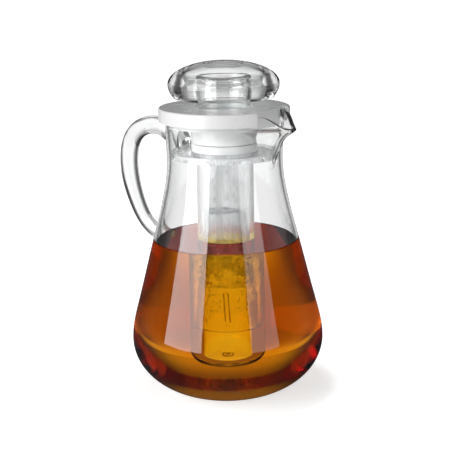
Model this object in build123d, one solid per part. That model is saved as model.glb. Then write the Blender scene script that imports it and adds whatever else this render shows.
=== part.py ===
from build123d import *
import os
from math import acos, asin, cos, degrees, radians, sin, sqrt, tan

os.makedirs("parts", exist_ok=True)

# Sizes are in millimetres. The flat foot stands on z = 0, the spout points to +X, the handle to -X.

# Body: driving sizes of the clear shell
rim_height = 248.0
rim_radius = 51.3
waist_radius = 50.0
waist_height = 197.0
belly_radius = 84.0
belly_height = 48.0
wall = 3.0
floor_thickness = 4.0
bowl_centre = 21.0
foot_flat = 1.0

# Clearances between pieces
skirt_gap = 0.4
plug_gap = 0.7
thread_gap = 0.3
bond_gap = 0.1
strainer_gap = 1.0

# Spout: a wedge with a rounded tip that follows the curve of its keel
spout_half_angle = radians(40.0)
spout_reach = 22.9
spout_tip_radius = 5.0
spout_depth = 43.0
spout_root_drop = 45.0
spout_end_drop = 9.5
lip_reach = 0.7
lip_drop = 10.7
spout_tip = rim_radius + spout_reach
spout_root_height = rim_height - spout_root_drop
spout_end_height = rim_height - spout_end_drop

# Lid: plate, skirt, plug ring and the threaded collar that holds the ice tube
lid_plate = 3.4
lid_edge_radius = 1.6
skirt_wall = 4.2
skirt_depth = 8.0
plug_wall = 2.1
plug_depth = 12.0
notch_half_angle = radians(34.5)
collar_wall = 3.3
collar_depth = 26.5
ledge_depth = 7.0
ledge_thickness = 2.0
lid_top = rim_height + lid_plate
skirt_bottom = rim_height - skirt_depth
skirt_inner_radius = rim_radius + skirt_gap
lid_radius = skirt_inner_radius + skirt_wall
plug_bottom = rim_height - plug_depth
plug_radius = rim_radius - wall - plug_gap
collar_bottom = rim_height - collar_depth
ledge_bottom = rim_height - ledge_depth
ledge_top = ledge_bottom + ledge_thickness

# Ice tube, its seal, and the lock ring that clamps the strainer on the tube's flange
tube_radius = 24.9
tube_wall = 2.5
tube_length = 209.5
tube_floor = 3.0
tube_bottom_rounding = 7.0
seal_thickness = 1.5
flange_width = 2.3
flange_thickness = 2.5
lock_ring_height = 7.5
tube_inner_radius = tube_radius - tube_wall
tube_top = ledge_bottom - seal_thickness
tube_bottom = tube_top - tube_length
sleeve_radius = tube_radius + thread_gap
collar_radius = sleeve_radius + collar_wall

# Strainer: a dished disc with two staggered rings of holes
strainer_height = 5.0
strainer_plate = 2.5
strainer_rim = 2.2
strainer_hole_radius = 2.75
strainer_hole_count = 24
strainer_hole_edge = 0.5
strainer_ring_step = 6.2
strainer_radius = waist_radius - wall - strainer_gap
strainer_top = collar_bottom - lock_ring_height
strainer_bottom = strainer_top - strainer_height
strainer_outer_ring = strainer_radius - strainer_rim - strainer_hole_edge - strainer_hole_radius
strainer_inner_ring = strainer_outer_ring - strainer_ring_step

# Knob: a hollow dome closed by a base whose neck screws into the lid
knob_radius = 47.3
knob_rise = 19.0
knob_foot_radius = 42.0
knob_foot_height = 12.0
knob_gap = 7.6
knob_cavity_radius = 35.5
knob_cavity_height = 12.5
knob_boss_radius = 15.0
knob_boss_height = 2.5
knob_recess_radius = 38.0
knob_plate = 4.0
neck_radius = 23.7
neck_wall = 3.7
neck_floor = 3.0
neck_edge_radius = 3.0
neck_head_gap = 7.0
knob_underside = lid_top + knob_gap
knob_widest_height = knob_underside + knob_foot_height
overall_height = knob_widest_height + knob_rise
neck_bottom = ledge_top + seal_thickness

# Handle: a solid rod, thickest where it meets the neck
handle_reach = 111.2
handle_top_drop = 19.0
handle_end_height = 127.0
handle_root_radius = 9.5
handle_top_radius = 8.2
handle_low_radius = 6.6
handle_end_radius = 8.0
handle_top_height = rim_height - handle_top_drop


# Length of a curve's handles that make it a quarter of an ellipse
round_share = (sqrt(2) - 1) * 4 / 3


def between(low, high, share):
    return low + (high - low) * share


def disc(radius, bottom, top):
    return Pos(0, 0, bottom) * Cylinder(radius, top - bottom, align=(Align.CENTER, Align.CENTER, Align.MIN))


def ring(inner_radius, outer_radius, bottom, top):
    return disc(outer_radius, bottom, top) - disc(inner_radius, bottom, top)


def turned(outline):
    """Solid of revolution about Z from the edges of a closed outline drawn in the XZ plane."""
    return revolve(make_face(outline), Axis.Z)


def body_filled(inset, bottom, undercut):
    """The body without its spout, drawn in by inset, as a filled solid up to the rim."""
    half_height = belly_height - bottom + undercut
    half_width = belly_radius - bowl_centre - inset
    start = -asin((belly_height - bottom) / half_height)
    first_radius = bowl_centre + half_width * cos(start)
    bowl = Plane.XZ * EllipticalCenterArc(
        (bowl_centre, belly_height), half_width, half_height, degrees(start), arc_size=degrees(-start)
    )
    taper = [(0, 0), (0.19, 0.23), (0.59, 0.58), (0.91, 0.87), (1, 1)]
    points = [
        (between(belly_radius, waist_radius, inward) - inset, between(belly_height, waist_height, up))
        for inward, up in taper
    ]
    points.append((rim_radius - inset, rim_height))
    side = Plane.XZ * Spline(points, tangents=[(0, 1), (0.02, 1)])
    rest = Plane.XZ * Polyline(points[-1], (0, rim_height), (0, bottom), (first_radius, bottom))
    return turned([bowl, side, *rest.edges()])


def keel(inset):
    """Curve along the spout's underside, or the floor of its channel when it is drawn in."""
    root_x = waist_radius - 1
    flare = [(0, 0), (0.2, 0.34), (0.52, 0.72), (0.81, 0.865), (1, 1)]
    outer = Spline(
        [
            (between(root_x, spout_tip, out), between(spout_root_height, spout_end_height, up))
            for out, up in flare
        ],
        tangents=[(0, 1), (0.15, 1)],
    )
    if inset == 0:
        return Plane.XZ * outer
    points = []
    for share in (0, 0.25, 0.5, 0.7, 0.85, 1):
        along = outer % share
        points.append(outer @ share + Vector(-along.Y, along.X) * inset)
    return Plane.XZ * Spline(points, tangents=[(0, 1), (0.15, 1)])


def wedge(tip, tip_radius, level):
    """Flat section of the spout seen from above, with its rounded tip at x = tip."""
    centre = tip - tip_radius
    touch_x = centre + tip_radius * sin(spout_half_angle)
    touch_y = tip_radius * cos(spout_half_angle)
    root_x = tip - spout_depth
    root_y = touch_y + (touch_x - root_x) * tan(spout_half_angle)
    tip_arc = ThreePointArc((touch_x, -touch_y), (tip, 0), (touch_x, touch_y))
    sides = Polyline((touch_x, touch_y), (root_x, root_y), (root_x, -root_y), (touch_x, -touch_y))
    return Pos(0, 0, level) * make_face([tip_arc, *sides.edges()])


def spout_filled(inset):
    """The spout's wedge swept along its keel and carried straight up past the rim."""
    path = keel(inset)
    start = path @ 0
    end = path @ 1
    radius = spout_tip_radius - inset
    swept = sweep(wedge(start.X, radius, start.Z), path=path, normal=(0, 0, 1))
    raised = extrude(wedge(end.X, radius, end.Z), amount=lid_top - end.Z, dir=(0, 0, 1))
    return swept + raised


def above_lip():
    """Everything above the rim and above the falling line of the spout's lip."""
    far = 2 * belly_radius
    lip_end = spout_tip + lip_reach
    lip_end_height = rim_height - lip_drop
    fall = [(0, 0), (0.26, 0.1), (0.47, 0.42), (0.69, 0.77), (1, 1)]
    points = [(between(rim_radius, lip_end, out), between(rim_height, lip_end_height, down)) for out, down in fall]
    lip = Plane.XZ * Spline(points, tangents=[(1, 0), (1, -0.3)])
    rest = Plane.XZ * Polyline(
        points[-1],
        (far, lip_end_height),
        (far, overall_height),
        (-far, overall_height),
        (-far, rim_height),
        points[0],
    )
    return extrude(make_face([lip, *rest.edges()]), amount=far, both=True)


def body_envelope():
    """Outer shape of the body and spout with nothing hollowed out."""
    return body_filled(0, 0, foot_flat) + spout_filled(0) - above_lip()


def pitcher_body():
    hollow = body_filled(wall, floor_thickness, 0) + disc(rim_radius - wall, rim_height - 1, lid_top)
    return body_envelope() - hollow - spout_filled(wall)


def handle():
    inside_x = 1 - waist_radius
    bend = [(0, 0.88), (0.4, 1), (0.87, 0.9), (1, 0.64), (0.9, 0.345), (0.62, 0.085), (0, 0)]
    path = Plane.XZ * Spline(
        [
            (between(inside_x, -handle_reach, out), between(handle_end_height, handle_top_height, up))
            for out, up in bend
        ]
    )
    radii = {
        0: handle_root_radius,
        0.15: handle_top_radius,
        0.5: handle_top_radius,
        0.8: handle_low_radius,
        1: handle_end_radius,
    }
    sections = [path.location_at(share) * Circle(radius) for share, radius in radii.items()]
    return sweep(sections=sections, path=path, multisection=True) - body_envelope()


def notch_outline():
    """Kite seen from above: sides along the spout's wedge, closed by lines through the axis."""
    reach = (spout_tip - spout_tip_radius) * sin(spout_half_angle) + spout_tip_radius + skirt_gap
    corner = reach / sin(spout_half_angle + notch_half_angle)
    corner_x = corner * cos(notch_half_angle)
    corner_y = corner * sin(notch_half_angle)
    apex = reach / sin(spout_half_angle)
    return make_face(Polyline((0, 0), (corner_x, corner_y), (apex, 0), (corner_x, -corner_y), (0, 0)))


def lid_cover():
    lid = disc(lid_radius, skirt_bottom, lid_top)
    lid = fillet(lid.edges().sort_by(Axis.Z)[-1], lid_edge_radius)
    lid -= ring(plug_radius, skirt_inner_radius, skirt_bottom, rim_height)
    lid += disc(plug_radius, plug_bottom, skirt_bottom)
    lid -= disc(plug_radius - plug_wall, plug_bottom, rim_height)
    notch = Pos(0, 0, plug_bottom) * extrude(notch_outline(), amount=lid_top - plug_bottom, dir=(0, 0, 1))
    lid -= notch - disc(plug_radius, plug_bottom, lid_top)
    lid += disc(collar_radius, collar_bottom, rim_height)
    lid -= disc(sleeve_radius, collar_bottom, ledge_bottom)
    lid -= disc(tube_inner_radius, ledge_bottom, ledge_top)
    lid -= disc(neck_radius + thread_gap, ledge_top, lid_top)
    return lid


def ice_tube():
    outside = disc(tube_radius, tube_bottom, tube_top)
    outside = fillet(outside.edges().sort_by(Axis.Z)[0], tube_bottom_rounding)
    outside += disc(tube_radius + flange_width, strainer_bottom - flange_thickness, strainer_bottom)
    inside = disc(tube_inner_radius, tube_bottom + tube_floor, tube_top)
    inside = fillet(inside.edges().sort_by(Axis.Z)[0], tube_bottom_rounding - tube_wall)
    return outside - inside


def tube_seal():
    return ring(tube_inner_radius, tube_radius, tube_top, ledge_bottom)


def strainer_disc():
    plate_top = strainer_bottom + strainer_plate
    plate = disc(strainer_radius, strainer_bottom, strainer_top)
    plate -= ring(collar_radius, strainer_radius - strainer_rim, plate_top, strainer_top)
    plate -= disc(sleeve_radius, strainer_bottom, strainer_top)
    half_step = 180 / strainer_hole_count
    drill = disc(strainer_hole_radius, strainer_bottom, plate_top)
    outer_holes = PolarLocations(strainer_outer_ring, strainer_hole_count)
    inner_holes = PolarLocations(strainer_inner_ring, strainer_hole_count, start_angle=half_step)
    holes = [place * drill for place in [*outer_holes, *inner_holes]]
    return plate - holes


def tube_lock_ring():
    return ring(sleeve_radius, collar_radius, strainer_top, collar_bottom)


def knob_dome():
    cap = Plane.XZ * Bezier(
        (knob_radius, knob_widest_height),
        (knob_radius, knob_widest_height + round_share * knob_rise),
        (round_share * knob_radius, overall_height),
        (0, overall_height),
    )
    under = Plane.XZ * TangentArc(
        (knob_radius, knob_widest_height), (knob_foot_radius, knob_underside), tangent=(0, -1)
    )
    boss_turn = acos(knob_boss_radius / knob_cavity_radius)
    ceiling = Plane.XZ * EllipticalCenterArc(
        (0, knob_widest_height), knob_cavity_radius, knob_cavity_height, arc_size=degrees(boss_turn)
    )
    mouth = Plane.XZ * Polyline(
        (knob_foot_radius, knob_underside),
        (knob_recess_radius, knob_underside),
        (knob_recess_radius, knob_underside + knob_plate),
        (knob_cavity_radius, knob_underside + knob_plate),
        (knob_cavity_radius, knob_widest_height),
    )
    boss_bottom = knob_widest_height + knob_cavity_height - knob_boss_height
    boss = Plane.XZ * Polyline(
        (knob_boss_radius, knob_widest_height + knob_cavity_height * sin(boss_turn)),
        (knob_boss_radius, boss_bottom),
        (0, boss_bottom),
        (0, overall_height),
    )
    return turned([cap, under, *mouth.edges(), ceiling, *boss.edges()])


def knob_base():
    """The plate that closes the dome, and the neck, whose wall stands on up inside the dome."""
    plate_radius = knob_recess_radius - bond_gap
    plate_top = knob_underside + knob_plate
    ceiling_share = sqrt(1 - (neck_radius / knob_cavity_radius) ** 2)
    neck_top = knob_widest_height + knob_cavity_height * ceiling_share - neck_head_gap
    base = disc(neck_radius, neck_bottom, neck_top)
    base = fillet(base.edges().sort_by(Axis.Z)[-1], neck_edge_radius)
    base += disc(plate_radius, knob_underside, plate_top)
    return base - disc(neck_radius - neck_wall, neck_bottom + neck_floor, neck_top)


def knob_seal():
    return ring(tube_inner_radius, neck_radius, ledge_top, neck_bottom)


export_step(pitcher_body(), "parts/pitcher_body.step")
export_step(handle(), "parts/handle.step")
export_step(lid_cover(), "parts/lid_cover.step")
export_step(ice_tube(), "parts/ice_tube.step")
export_step(tube_seal(), "parts/tube_seal.step")
export_step(strainer_disc(), "parts/strainer_disc.step")
export_step(tube_lock_ring(), "parts/tube_lock_ring.step")
export_step(knob_dome(), "parts/knob_dome.step")
export_step(knob_base(), "parts/knob_base.step")
export_step(knob_seal(), "parts/knob_seal.step")
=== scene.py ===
import bmesh
import bpy
import math
import random
import numpy as np
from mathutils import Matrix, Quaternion, Vector


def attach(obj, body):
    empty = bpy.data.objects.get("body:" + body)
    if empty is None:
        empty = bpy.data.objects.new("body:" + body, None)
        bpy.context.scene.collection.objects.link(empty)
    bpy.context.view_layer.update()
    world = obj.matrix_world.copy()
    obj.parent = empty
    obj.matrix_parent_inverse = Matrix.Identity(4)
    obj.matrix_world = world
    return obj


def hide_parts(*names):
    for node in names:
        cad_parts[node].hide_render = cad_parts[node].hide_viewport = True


# Metres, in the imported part's own frame: foot on z = 0, spout towards +X, handle towards -X.
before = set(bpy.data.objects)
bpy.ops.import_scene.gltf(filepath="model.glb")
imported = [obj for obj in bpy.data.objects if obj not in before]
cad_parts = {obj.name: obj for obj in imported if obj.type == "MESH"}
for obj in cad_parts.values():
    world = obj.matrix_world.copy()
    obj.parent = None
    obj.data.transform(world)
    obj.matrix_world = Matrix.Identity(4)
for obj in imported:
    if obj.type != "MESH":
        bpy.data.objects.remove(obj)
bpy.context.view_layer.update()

MM = 0.001

# Body
RIM_HEIGHT = 248 * MM
RIM_RADIUS = 51.3 * MM
WAIST_RADIUS = 50 * MM
WAIST_HEIGHT = 197 * MM
BELLY_RADIUS = 84 * MM
BELLY_HEIGHT = 48 * MM
WALL = 3 * MM
FLOOR_THICKNESS = 4 * MM
BOWL_CENTRE = 21 * MM
FOOT_FLAT = 1 * MM
BODY_MIDDLE = 100 * MM

# Shares of the way inwards and upwards, from the belly to the waist
SIDE_SHARES = [(0, 0), (0.19, 0.23), (0.59, 0.58), (0.91, 0.87), (1, 1)]

# Spout
SPOUT_HALF_ANGLE = math.radians(40)
SPOUT_TIP = 74.2 * MM
SPOUT_TIP_RADIUS = 5 * MM
SPOUT_ROOT_RADIUS = 12 * MM
SPOUT_ROOT_X = 49 * MM
SPOUT_ROOT_HEIGHT = 203 * MM
SPOUT_END_HEIGHT = 238.5 * MM
LIP_END_X = 74.9 * MM
LIP_END_HEIGHT = 237.3 * MM
SPOUT_BLEND = 3 * MM
SPOUT_REACH = math.radians(70)
SPOUT_FINE_REACH = math.radians(52)

# Shares of the way outwards and upwards along the keel, and outwards and downwards along the lip
KEEL_SHARES = [(0, 0), (0.2, 0.34), (0.52, 0.72), (0.81, 0.865), (1, 1)]
LIP_SHARES = [(0, 0), (0.26, 0.1), (0.47, 0.42), (0.69, 0.77), (1, 1)]

# Ice tube
TUBE_RADIUS = 24.9 * MM
TUBE_INNER_RADIUS = 22.4 * MM
TUBE_BOTTOM = 30 * MM
TUBE_TOP = 239.5 * MM
TUBE_FLOOR = 3 * MM
TUBE_ROUNDING = 7 * MM
TUBE_EDGE = 0.4 * MM
TUBE_GATE_RADIUS = 1.8 * MM
TUBE_GATE_DEPTH = 0.5 * MM
FLANGE_RADIUS = 27.2 * MM
FLANGE_BOTTOM = 206.5 * MM
FLANGE_TOP = 209 * MM

# Lock ring, which leaves a fine groove under the lid's collar
LOCK_INNER = 25.2 * MM
LOCK_OUTER = 28.5 * MM
LOCK_BOTTOM = 214 * MM
LOCK_TOP = 221 * MM
LOCK_EDGE = 0.6 * MM

# Knob
KNOB_RADIUS = 47.3 * MM
KNOB_UNDERSIDE = 259 * MM
KNOB_WIDEST = 271 * MM
KNOB_TOP = 290 * MM
KNOB_FOOT_RADIUS = 42 * MM
KNOB_CAVITY_RADIUS = 35.5 * MM
KNOB_CAVITY_HEIGHT = 12.5 * MM
KNOB_BOSS_RADIUS = 15 * MM
KNOB_BOSS_BOTTOM = 281 * MM
KNOB_RECESS_RADIUS = 38 * MM
KNOB_PLATE_TOP = 263 * MM
BASE_RADIUS = 37.9 * MM
NECK_RADIUS = 23.7 * MM
NECK_BOTTOM = 244.5 * MM
NECK_INNER_RADIUS = 20 * MM
NECK_FLOOR_TOP = 247.5 * MM
NECK_TOP = 273.3 * MM
NECK_EDGE_RADIUS = 3 * MM
NECK_FLOOR_ROUNDING = 1.2 * MM
KNOB_EDGE = 0.5 * MM
KNOB_BOSS_EDGE = 0.6 * MM
BASE_EDGE = 0.4 * MM

# Handle
HANDLE_REACH = 111.2 * MM
HANDLE_TOP = 229 * MM
HANDLE_END = 127 * MM

# Shares of the way outwards and upwards along the loop, and radii at shares of its length
HANDLE_BEND = [(0, 0.88), (0.4, 1), (0.87, 0.9), (1, 0.64), (0.9, 0.345), (0.62, 0.085), (0, 0)]
HANDLE_RADII = [(0, 9.5 * MM), (0.15, 8.2 * MM), (0.5, 8.2 * MM), (0.8, 6.6 * MM), (1, 8 * MM)]
HANDLE_FLARE = 1.6 * MM
HANDLE_FLARE_LENGTH = 2.5 * MM
HANDLE_ROOT = 14 * MM

# Contents: the tea, and the ice in the tube with its hollow
TEA_LEVEL = 136.4 * MM
MENISCUS_RISE = 0.6 * MM
MENISCUS_RUN = 1.2 * MM
ICE_BOTTOM = 58 * MM
ICE_TOP = 228 * MM
CRACKS_BOTTOM = 97 * MM
CLOUD_BOTTOM = 140 * MM
CAVITY_TOP = 162 * MM
CAVITY_BOTTOM_RADIUS = 21.7 * MM
CAVITY_TOP_RADIUS = 15.6 * MM
CEILING_PEAK = 3.5 * MM
CEILING_SWAY = 0.8 * MM
CAVITY_WAVES = 9
CAVITY_DENTS = 70
DEEPEST_DENT = 2.2 * MM
RIB_DEPTH = 2.4 * MM
RIB_HALF_WIDTH = 1.9 * MM
RIB_MIDDLE = 0.19
RIB_HALF_LENGTH = 0.15
CLOUD_BUBBLES = 80
WALL_BUBBLES = 300
ICE_SEED = 7

# Shares of the way outwards, and rises in millimetres, along the ceiling of the hollow
CEILING = [(0.12, 2.6), (0.25, 1.4), (0.5, 0.9), (0.75, 0.5), (0.9, -0.2), (0.97, -1.2), (1, -2.6)]

# How far a liquid's mesh sinks into the walls that hold it, so that no air shows between them
SEEP = 0.3 * MM
# Distance of the extra points that keep the shading of a rounding off the long flat faces beside it
FLAT_BESIDE_ROUNDING = 0.1 * MM

# Looks
CLEAR_IOR = 1.57
CLEAR_COLOUR = (0.985, 0.99, 0.99)
CLEAR_SHADOW = (0.93, 0.94, 0.94)
CLEAR_ROUGHNESS = (0.0, 0.015)
TEA_IOR = 1.333
TEA_SURFACE_IOR = 1.05
TEA_SURFACE_MIRROR = 0.3
TEA_SHADOW = (0.1, 0.1, 0.1)
TEA_COLOUR = (0.958, 0.81, 0)
TEA_DENSITY = 60
ICE_IOR = 1.31
WET_MIRROR = 0.03
MILKY_SHADOW = (0.85, 0.86, 0.87)

# Windows and panel: degrees to the right of the camera, metres, and radiance
WINDOW_DISTANCE = 1.0
WINDOW_MIDDLE = 0.53
WINDOW_HEIGHT = 1.06
LEFT_WINDOW_TURN = -53.7
LEFT_WINDOW_WIDTH = 0.88
LEFT_WINDOW_RADIANCE = 4.6
RIGHT_WINDOW_TURN = 43
RIGHT_WINDOW_WIDTH = 0.61
RIGHT_WINDOW_RADIANCE = 1.8
TOP_PANEL_TURN = -150
TOP_PANEL_DISTANCE = 0.35
TOP_PANEL_HEIGHT = 1.3
TOP_PANEL_AIM = 0.2
TOP_PANEL_SIZE = 1.1
TOP_PANEL_RADIANCE = 0.3

# Floor and world
FLOOR_HALF = 12
FLOOR_DROP = 0.05 * MM
PAPER_TONE = 0.8
PAPER_HIDDEN_LOSS = 0.7
# The paper's own light is turned down inside the first radius and fades up to full by the second: a painted
# shade round the foot, in which the real shadow from the lamps shows to the camera
SHADOW_INNER = 85 * MM
SHADOW_OUTER = 115 * MM
SHADOW_LIFT = 0.6
# Clear pieces show the paper near the foot with a painted shade, darkest at the foot and brightening
# outwards, and then the far paper
CLOSE_INNER = 150 * MM
CLOSE_OUTER = 320 * MM
CLOSE_LOWEST = 0.3
FAR_INNER = 260 * MM
FAR_OUTER = 400 * MM
# Surfaces crossed by a ray that has been through the tea, or through the tube as well
TEA_SURFACES = 4.5
TUBE_SURFACES = 8.5
# Painted light: the paper seen through the tube glows this bright, and less after a mirroring
TUBE_LIGHT = 1.1
TUBE_MIRRORED_LOSS = 0.75
# Painted tea-coloured light on the paper, where clear pieces see it dark through the tea
PAINTED_TEA_LIGHT = (1, 0.4, 0.2)
MATT_FILL = 0.12
# The world's brightness through clear pieces and in mirrors: between two slopes, and the value at each
CLEAR_SKY = (0.02, 0.3, 0.8, 0.4)
MIRRORED_SKY = (0.25, 0.75, 0.012, 0.32)
# Dark flags round the pitcher: the wave where they are darkest, where they end, and their brightness
FLAG_COUNT = 4
TEA_FLAGS = (0.25, 1, 0.2)
FAR_FLAGS = (-1, 0.2, 0.06)
WORLD_FLAGS = (-0.9, 0.8, 0.06)

MOST_BOUNCES = 40
MOST_MIRRORINGS = 10

# Camera of the photograph
CAMERA_PLACE = Vector((0.59554, -0.76226, 0.38209))
CAMERA_AIM = Vector((0, 0, 0.14663))
CAMERA_ROLL = -0.0171
CAMERA_LENS = 91.18


def add_camera():
    data = bpy.data.cameras.new("camera")
    data.lens = CAMERA_LENS
    data.sensor_width = 36
    camera = bpy.data.objects.new("camera", data)
    bpy.context.scene.collection.objects.link(camera)
    camera.location = CAMERA_PLACE
    turn = (CAMERA_AIM - CAMERA_PLACE).to_track_quat("-Z", "Y")
    camera.rotation_euler = (turn @ Quaternion((0, 0, 1), CAMERA_ROLL)).to_euler()
    bpy.context.scene.camera = camera


# Curves


def between(low, high, share):
    return low + (high - low) * share


def smooth_curve(points, count, start=None, end=None):
    """Points along a smooth cubic curve through the given ones, with a given direction at either end."""
    p = np.array(points, float)
    span = np.linalg.norm(np.diff(p, axis=0), axis=1)
    knots = np.concatenate([[0], np.cumsum(span)])
    last = len(p) - 1
    system = np.zeros((last + 1, last + 1))
    right = np.zeros_like(p)
    for i in range(1, last):
        before, after = span[i - 1], span[i]
        system[i, i - 1 : i + 2] = 1 / before, 2 / before + 2 / after, 1 / after
        right[i] = 3 * ((p[i] - p[i - 1]) / before**2 + (p[i + 1] - p[i]) / after**2)
    for row, near, direction in ((0, 1, start), (last, last - 1, end)):
        system[row, row] = 1
        if direction is None:
            system[row, row] = 2
            system[row, near] = 1
            low, high = sorted((row, near))
            right[row] = 3 * (p[high] - p[low]) / span[low]
        else:
            right[row] = np.array(direction) / np.linalg.norm(direction)
    slopes = np.linalg.solve(system, right)
    at = np.linspace(0, knots[-1], count)
    piece = np.clip(np.searchsorted(knots, at, side="right") - 1, 0, last - 1)
    h = span[piece][:, None]
    t = ((at - knots[piece]) / span[piece])[:, None]
    a, b, ma, mb = p[piece], p[piece + 1], slopes[piece] * h, slopes[piece + 1] * h
    return (
        (2 * t**3 - 3 * t**2 + 1) * a
        + (t**3 - 2 * t**2 + t) * ma
        + (3 * t**2 - 2 * t**3) * b
        + (t**3 - t**2) * mb
    )


def arc(centre_r, centre_z, width, height, start, end, steps):
    """Points (radius, height) of an elliptical arc, with angles in degrees."""
    turn = np.radians(np.linspace(start, end, steps + 1))
    return [(centre_r + width * math.cos(t), centre_z + height * math.sin(t)) for t in turn]


def outline(corners, steps=6):
    """Outline (radius, height) from corners (radius, height, rounding), each corner rounded by an arc.

    A point just beside each arc keeps the smooth shading of the arc off the long flat faces.
    """
    points = []
    for i, (r, z, rounding) in enumerate(corners):
        here = Vector((r, z))
        if rounding == 0 or i in (0, len(corners) - 1):
            points.append((r, z))
            continue
        to_last = (Vector(corners[i - 1][:2]) - here).normalized()
        to_next = (Vector(corners[i + 1][:2]) - here).normalized()
        half = to_last.angle(to_next) / 2
        reach = rounding / math.tan(half)
        centre = here + (to_last + to_next).normalized() * (rounding / math.sin(half))
        first = here + to_last * reach - centre
        turn = first.angle_signed(here + to_next * reach - centre)
        points.append(tuple(here + to_last * (reach + FLAT_BESIDE_ROUNDING)))
        for step in range(steps + 1):
            angle = -turn * step / steps
            across = first.x * math.cos(angle) - first.y * math.sin(angle)
            up = first.x * math.sin(angle) + first.y * math.cos(angle)
            points.append(tuple(centre + Vector((across, up))))
        points.append(tuple(here + to_next * (reach + FLAT_BESIDE_ROUNDING)))
    return points


# Meshes


def add_piece(name, vertices, faces, material, body, nodes=()):
    """A smooth piece that rides on a body, takes a finish slot and stands for CAD nodes."""
    mesh = bpy.data.meshes.new(name)
    mesh.from_pydata([tuple(v) for v in vertices], [], faces)
    shape = bmesh.new()
    shape.from_mesh(mesh)
    bmesh.ops.recalc_face_normals(shape, faces=shape.faces)
    shape.to_mesh(mesh)
    shape.free()
    mesh.shade_smooth()
    mesh.materials.append(material)
    piece = bpy.data.objects.new(name, mesh)
    bpy.context.scene.collection.objects.link(piece)
    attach(piece, body)
    if nodes:
        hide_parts(*nodes)
    return piece


def skin(rings):
    """Vertices and faces of a closed skin over rings of points; a ring of one point is a pole."""
    vertices = []
    faces = []
    starts = []
    for ring in rings:
        starts.append(len(vertices))
        vertices.extend(ring)
    for k in range(len(rings) - 1):
        lower, upper = rings[k], rings[k + 1]
        count = max(len(lower), len(upper))
        for i in range(count):
            j = (i + 1) % count
            if len(lower) == 1:
                faces.append((starts[k], starts[k + 1] + j, starts[k + 1] + i))
            elif len(upper) == 1:
                faces.append((starts[k] + i, starts[k] + j, starts[k + 1]))
            else:
                faces.append((starts[k] + i, starts[k] + j, starts[k + 1] + j, starts[k + 1] + i))
    return vertices, faces


def circle(r, z, turns):
    """Points round the axis at some angles, or the one point on the axis where the radius is nothing."""
    if r < 1e-7:
        return [(0, 0, z)]
    return [(r * math.cos(t), r * math.sin(t), z) for t in turns]


def lathe(name, profile, material, body, nodes=(), columns=160):
    """Closed piece turned about Z from a profile (radius, height) that starts and ends on the axis."""
    turns = [2 * math.pi * i / columns for i in range(columns)]
    vertices, faces = skin([circle(r, z, turns) for r, z in profile])
    return add_piece(name, vertices, faces, material, body, nodes)


def lathe_ring(name, profile, material, body, nodes=(), columns=160):
    """Closed ring turned about Z from a closed profile (radius, height) that stays off the axis."""
    turns = [2 * math.pi * i / columns for i in range(columns)]
    vertices, faces = skin([circle(r, z, turns) for r, z in [*profile, profile[0]]])
    first = len(vertices) - columns
    merged = [tuple(v - first if v >= first else v for v in face) for face in faces]
    return add_piece(name, vertices[:first], merged, material, body, nodes)


# Materials


def empty_material(name):
    material = bpy.data.materials.new(name)
    material.use_nodes = True
    tree = material.node_tree
    tree.nodes.clear()
    return material, tree, tree.nodes.new("ShaderNodeOutputMaterial")


def new_material(name):
    material, tree, output = empty_material(name)
    return material, tree, output, tree.nodes.new("ShaderNodeBsdfPrincipled")


def noise_node(tree, scale, detail, stretch=(1, 1, 1)):
    place = tree.nodes.new("ShaderNodeTexCoord")
    mapping = tree.nodes.new("ShaderNodeMapping")
    mapping.inputs["Scale"].default_value = stretch
    grain = tree.nodes.new("ShaderNodeTexNoise")
    grain.inputs["Scale"].default_value = scale
    grain.inputs["Detail"].default_value = detail
    tree.links.new(place.outputs["Object"], mapping.inputs["Vector"])
    tree.links.new(mapping.outputs["Vector"], grain.inputs["Vector"])
    return grain


def add_bump(tree, shader, height, distance):
    bump = tree.nodes.new("ShaderNodeBump")
    bump.inputs["Strength"].default_value = 1
    bump.inputs["Distance"].default_value = distance
    tree.links.new(height, bump.inputs["Height"])
    tree.links.new(bump.outputs["Normal"], shader.inputs["Normal"])


def remap(tree, value, low, high):
    node = tree.nodes.new("ShaderNodeMapRange")
    node.inputs["To Min"].default_value = low
    node.inputs["To Max"].default_value = high
    tree.links.new(value, node.inputs["Value"])
    return node.outputs["Result"]


def colour_between(tree, first, second, factor):
    mix = tree.nodes.new("ShaderNodeMix")
    mix.data_type = "RGBA"
    mix.inputs["A"].default_value = (*first, 1)
    mix.inputs["B"].default_value = (*second, 1)
    tree.links.new(factor, mix.inputs["Factor"])
    return mix.outputs["Result"]


def let_light_through(tree, shader, output, shadow_colour):
    """Show the shader, but let lamp light pass straight through as a plain tint."""
    rays = tree.nodes.new("ShaderNodeLightPath")
    clear = tree.nodes.new("ShaderNodeBsdfTransparent")
    clear.inputs["Color"].default_value = (*shadow_colour, 1)
    mix = tree.nodes.new("ShaderNodeMixShader")
    tree.links.new(rays.outputs["Is Shadow Ray"], mix.inputs["Fac"])
    tree.links.new(shader.outputs["BSDF"], mix.inputs[1])
    tree.links.new(clear.outputs["BSDF"], mix.inputs[2])
    tree.links.new(mix.outputs["Shader"], output.inputs["Surface"])


def see_through(name, colour, ior, shadow_colour, roughness, ripple, mirror):
    """Clear material that bends light. Its ripple is a scale, a stretch along each axis and a height."""
    material, tree, output, shader = new_material(name)
    scale, stretch, height = ripple
    shader.inputs["Specular Tint"].default_value = (mirror, mirror, mirror, 1)
    shader.inputs["Base Color"].default_value = (*colour, 1)
    shader.inputs["Transmission Weight"].default_value = 1
    shader.inputs["IOR"].default_value = ior
    grain = noise_node(tree, scale, 2, stretch)
    tree.links.new(remap(tree, grain.outputs["Fac"], *roughness), shader.inputs["Roughness"])
    add_bump(tree, shader, grain.outputs["Fac"], height)
    let_light_through(tree, shader, output, shadow_colour)
    return material


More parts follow.
